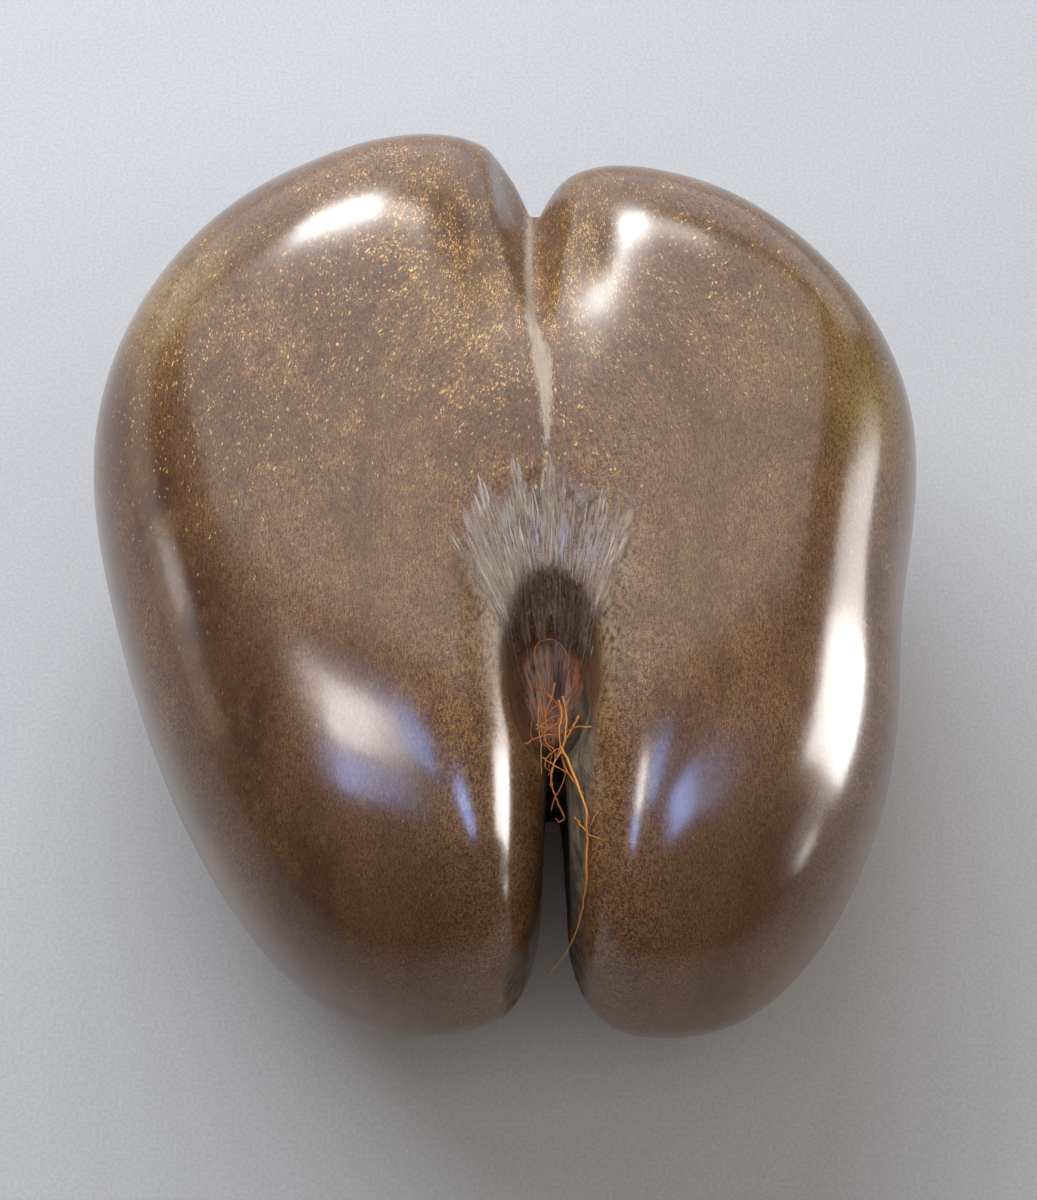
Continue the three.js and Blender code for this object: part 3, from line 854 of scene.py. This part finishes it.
def huskPiece():
    whole = bmesh.new()
    draw = random.Random(5)
    strands = [(husk["longThickness"], np.array(husk["long"]) + clearOf(husk["long"], husk["longThickness"]))]
    for thickness, lift, pixels in husk["strands"]:
        bow = [math.sin(math.pi * n / (len(pixels) - 1)) for n in range(len(pixels))]
        lifts = [husk["clearance"] + lift * part for part in bow]
        points = [restingPoint(px, py, up, husk["lowest"]) for (px, py), up in zip(pixels, lifts)]
        strands.append((thickness * husk["slimming"], points))
    for thickness, points in strands:
        path = smoothPath(points, husk["steps"])
        wander = np.array([[draw.gauss(0, husk["wander"]) for _ in range(3)] for _ in path])
        radii = []
        for n in range(len(path)):
            tapered = thickness / 2 * (1 - husk["taper"] * (n / len(path)) ** 2)
            radii.append(tapered * draw.uniform(*husk["unevenness"]) * mm)
        sweepStrand(whole, toFrame(path + wander), radii, husk["sides"], 1, draw.random())
    piece = makeMesh("husk_strands", whole)
    print("husk strands:", len(piece.data.polygons), "faces")
    return piece


def huskMaterial():
    material, g, shader = newMaterial("huskFibre")
    where = g.node("TexCoord", None, None, "Object")
    color = g.attribute("strandTone").mix(husk["root"], husk["tip"])
    worn = where.stretched(*husk["worn"]).noise(2, 0.6)
    color = (worn.step(0.55, 0.7) * 0.5).mix(color, husk["root"])
    plug(color, shader, "Base Color")
    shader.inputs["Roughness"].default_value = husk["roughness"]
    return material


# Splinters of torn fibre that stand a little off the scar
splinter = {
    "count": 56,
    "within": 0.94,  # of the torn part of the fan
    "halfWidth": (0.14, 0.42),
    "narrowest": 0.06,
    "flatness": 0.35,
    "length": (6, 18),
    "tipPastRim": 4,
    "tipPastEnd": 1,
    "rootPastRim": -6,
    "lift": (0.05, 0.6),
    "sway": 0.03,
    "sunk": 0.25,
    "step": 2.2,
    "sides": 5,
    "heights": (100, 160, 0.1),  # where the seed's face is looked for
    "pale": tone(206, 196, 178),
    "dark": tone(150, 130, 112),
    "streaks": (1600, 120, 900),
    "roughness": 0.75,
    "bump": 0.6,
    "bumpDepth": 0.3,
}


def heightAt(x, y):  # of the seed's face over a place
    z = np.arange(*splinter["heights"])
    points = np.stack([np.full(len(z), x), np.full(len(z), y), z], 1)
    return z[len(z) - 1 - np.argmax((seedField(points) < 0)[::-1])]


def splinterPiece():
    whole = bmesh.new()
    draw = random.Random(17)
    for _ in range(splinter["count"]):
        angle = draw.uniform(*scar["torn"]) * splinter["within"]
        rim, end = scarReach(angle)
        tip = draw.uniform(rim + splinter["tipPastRim"], end + splinter["tipPastEnd"])
        start = max(tip - draw.uniform(*splinter["length"]), rim + splinter["rootPastRim"])
        lift = draw.uniform(*splinter["lift"])
        sway = draw.uniform(-splinter["sway"], splinter["sway"])
        path = []
        count = max(3, round((tip - start) / splinter["step"]))
        for n in range(count + 1):
            share = n / count
            distance = start + (tip - start) * share
            turned = angle + sway * share**2
            x = scar["centre"][0] + distance * math.sin(turned)
            y = scar["centre"][1] + distance * math.cos(turned)
            place = np.array([[x, y, heightAt(x, y)]])
            raised = fineRelief(*place.T)[0]
            path.append((x, y, place[0, 2] + 0.5 * raised - splinter["sunk"] + lift * share**2))
        width = draw.uniform(*splinter["halfWidth"])
        radii = [width * (0.5 + share * 1.6 - share**2 * 1.7) * mm for share in np.linspace(0, 1, len(path))]
        radii = [max(radius, splinter["narrowest"] * mm) for radius in radii]
        flatness = splinter["flatness"]
        sweepStrand(whole, toFrame(np.array(path)), radii, splinter["sides"], flatness, draw.random())
    piece = makeMesh("scar_splinters", whole)
    print("scar splinters:", len(piece.data.polygons), "faces")
    return piece


def splinterMaterial():
    material, g, shader = newMaterial("tornFibre")
    where = g.node("TexCoord", None, None, "Object")
    streaks = where.stretched(*splinter["streaks"]).noise(3, 0.6)
    color = g.attribute("strandTone").mix(splinter["dark"], splinter["pale"])
    color = (streaks.step(0.55, 0.4) * 0.6).mix(color, splinter["dark"])
    plug(color, shader, "Base Color")
    shader.inputs["Roughness"].default_value = splinter["roughness"]
    plug(bumped(g, splinter["bump"], splinter["bumpDepth"], streaks), shader, "Normal")
    return material


def finish(piece, material, slot, *nodes):
    piece.data.materials.append(material)
    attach(piece, "root")
    if nodes:
        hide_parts(*nodes)


# The studio: a pale floor, soft light from the left and behind, and windows that show in the polish
studio = {
    "floor": tone(212, 213, 217),
    "floorFleck": tone(198, 200, 206),
    "floorHalf": 3.0,
    "floorRoughness": 0.9,
    "floorShine": 0.2,
    "weave": (900, 900, 900),
    "bump": 0.15,
    "bumpDepth": 0.3,
    "room": (1.0, 0.93, 0.84),
    "roomLight": 0.17,
    "overhead": 0.8,  # past this slope a window is a skylight, with its height along Y
    # Where each stands in the seed's own frame, what it faces, its width, height, roll and brightness.
    # The last value says whether it lights the room, shows in the polish or does both.
    "windows": {
        "sky": ((-330, 720, 900), (0, 0, 80), 1300, 700, 0, 5, (0.9, 0.95, 1.0), "lights"),
        "lamp": ((150, -450, 1500), (60, -150, 0), 1400, 800, 0, 1.15, (1.0, 0.95, 0.88), "lights"),
        "leftWall": ((-800, 180, 180), (0, 0, 60), 800, 260, 0, 1.2, (1.0, 0.93, 0.82), "both"),
        "rightWall": ((850, -50, 250), (0, -30, 60), 900, 300, 0, 1.6, (1.0, 0.98, 0.97), "both"),
        "backWall": ((0, 1100, 300), (0, 100, 130), 2600, 800, 0, 1.6, (0.88, 0.94, 1.0), "shows"),
        "ceiling": ((-100, 720, 1150), (0, 30, 140), 1700, 900, 0, 1.6, (0.97, 0.97, 1.0), "shows"),
        "farLeft": ((-88, 391, 383), (-40, 85, 130), 116, 62, 0, 32, (0.98, 1.0, 1.0), "shows"),
        "farRight": ((24, 391, 404), (-20, 85, 130), 110, 46, -8, 9, (1.0, 0.98, 0.9), "shows"),
        "right": ((700, -50, 290), (60, -80, 140), 280, 520, 0, 20, (1.0, 0.99, 0.97), "shows"),
        "rightFar": ((700, 120, 280), (40, -60, 140), 230, 400, 0, 7, (1.0, 0.99, 0.97), "shows"),
        "rightLow": ((700, -356, 130), (80, -112, 127), 90, 90, 0, 8, (1.0, 0.99, 0.97), "shows"),
        "oval": ((-700, 40, 267), (-100, -30, 140), 90, 160, 0, 4, (1.0, 0.98, 0.96), "shows"),
        "overLeft": ((-515, -110, 1580), (-52, -72, 148), 150, 380, -22, 28, (1.0, 0.97, 0.98), "shows"),
        "overLeftCool": ((-670, -490, 1580), (-50, -90, 146), 170, 310, -22, 19, (0.36, 0.52, 1.0), "shows"),
        "overMiddle": ((-187, -80, 1580), (-30, -80, 148), 240, 343, -15, 11, (0.25, 0.47, 1.0), "shows"),
        "overRight": ((417, -413, 1580), (45, -98, 144), 300, 480, 34, 15, (0.34, 0.5, 1.0), "shows"),
    },
}


def buildStudio():
    bm = bmesh.new()
    bmesh.ops.create_grid(bm, x_segments=1, y_segments=1, size=studio["floorHalf"])
    floor = makeMesh("floor", bm)
    material, g, shader = newMaterial("paper")
    where = g.node("TexCoord", None, None, "Object")
    weave = where.stretched(*studio["weave"]).noise(3, 0.6)
    plug(weave.step(0.3, 0.7).mix(studio["floor"], studio["floorFleck"]), shader, "Base Color")
    shader.inputs["Roughness"].default_value = studio["floorRoughness"]
    shader.inputs["Specular IOR Level"].default_value = studio["floorShine"]
    plug(bumped(g, studio["bump"], studio["bumpDepth"], weave), shader, "Normal")
    floor.data.materials.append(material)
    world = bpy.data.worlds.new("room")
    world.use_nodes = True
    world.node_tree.nodes["Background"].inputs["Color"].default_value = (*studio["room"], 1)
    world.node_tree.nodes["Background"].inputs["Strength"].default_value = studio["roomLight"]
    bpy.context.scene.world = world
    for name, (place, facing, width, height, roll, brightness, color, use) in studio["windows"].items():
        light = bpy.data.lights.new(name, "AREA")
        light.shape = "RECTANGLE"
        light.size, light.size_y = width * mm, height * mm
        light.energy = brightness * math.pi * light.size * light.size_y
        light.color = color
        window = bpy.data.objects.new(name, light)
        start, end = Vector(toFrame(np.array(place))), Vector(toFrame(np.array(facing)))
        out = (start - end).normalized()
        upward = Vector((0, 1, 0) if out.z > studio["overhead"] else (0, 0, 1))
        side = upward.cross(out).normalized()
        turn = Matrix((side, out.cross(side), out)).transposed().to_4x4()
        window.matrix_world = Matrix.Translation(start) @ turn @ Matrix.Rotation(math.radians(roll), 4, "Z")
        window.visible_diffuse = use != "shows"
        window.visible_glossy = use != "lights"
        bpy.context.scene.collection.objects.link(window)


def buildCamera():
    lens = bpy.data.cameras.new("camera")
    lens.lens = camera["lens"]
    lens.sensor_width = camera["film"]
    lens.clip_end = camera["clipEnd"]
    eye = bpy.data.objects.new("camera", lens)
    start, _ = pixelRay(*(side / 2 for side in camera["pixels"]))
    eye.location = toFrame(start)
    eye.rotation_euler = (math.radians(90 - camera["elevation"]), 0, 0)
    bpy.context.scene.collection.objects.link(eye)
    bpy.context.scene.camera = eye


buildCamera()
buildStudio()
print("studio ready")
finish(nutPiece(), shellMaterial(), "polished_shell", "nut")
finish(huskPiece(), huskMaterial(), "husk_fibre", "husk_fibres")
finish(splinterPiece(), splinterMaterial(), "husk_fibre")
bpy.context.scene.view_settings.view_transform = "Standard"
